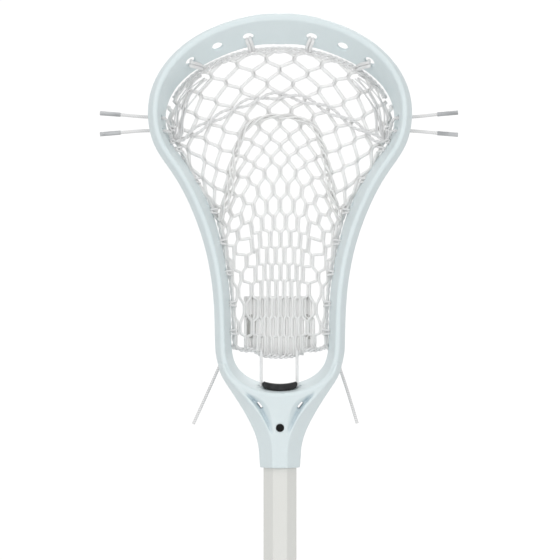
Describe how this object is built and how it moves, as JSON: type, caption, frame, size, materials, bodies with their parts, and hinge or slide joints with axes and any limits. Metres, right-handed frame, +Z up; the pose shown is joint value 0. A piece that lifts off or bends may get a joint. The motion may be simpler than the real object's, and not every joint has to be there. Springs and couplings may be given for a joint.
{
  "type": "lacrosse stick",
  "caption": "Field lacrosse stick: an octagonal shaft with a moulded hoop head strung with a mesh pocket, for catching, carrying and throwing the ball.",
  "frame": {"origin": "centre of the butt end, on the flat foot of the end cap", "axes": "+Z up the shaft to the scoop, -Y towards the side that the ball enters, +X to the right when the open face is looked at"},
  "size_m": [0.277, 0.0591, 1.0962],
  "materials": {
    "head_plastic": "smooth satin nylon",
    "stop_foam": "fine closed-cell foam",
    "badge_plastic": "plain",
    "shaft_coat": "satin powder coat on drawn alloy",
    "mesh_knit": "knitted polyester mesh",
    "string_braid": "braided cord",
    "lace_weave": "flat woven lace",
    "aglet_plastic": "heat-shrunk sleeve",
    "screw_steel": "zinc plated",
    "cap_rubber": "matt moulded rubber"
  },
  "bodies": {
    "stick": {"head_frame": "head_plastic", "ball_stop": "stop_foam", "throat_badge": "badge_plastic", "shaft": "shaft_coat", "mesh_pocket": "mesh_knit", "top_string": "string_braid", "left_sidewall_string": "string_braid", "right_sidewall_string": "string_braid", "bottom_string": "string_braid", "upper_shooting_string": "string_braid", "lower_shooting_string": "string_braid", "pocket_shooting_string": "lace_weave", "left_upper_tail": "string_braid", "left_lower_tail": "string_braid", "right_upper_tail": "string_braid", "right_lower_tail": "string_braid", "left_upper_aglet": "aglet_plastic", "left_lower_aglet": "aglet_plastic", "right_upper_aglet": "aglet_plastic", "right_lower_aglet": "aglet_plastic", "left_side_tail": "string_braid", "right_side_tail": "string_braid"},
    "screw": {"head_screw": "screw_steel"},
    "cap": {"end_cap": "cap_rubber"}
  },
  "joints": [
    {"name": "head_screw_out", "type": "slide", "parent": "stick", "child": "screw", "axis": [0, 1, 0], "range_m": [0, 0.014]},
    {"name": "end_cap_off", "type": "slide", "parent": "stick", "child": "cap", "axis": [0, 0, -1], "range_m": [0, 0.03]}
  ]
}
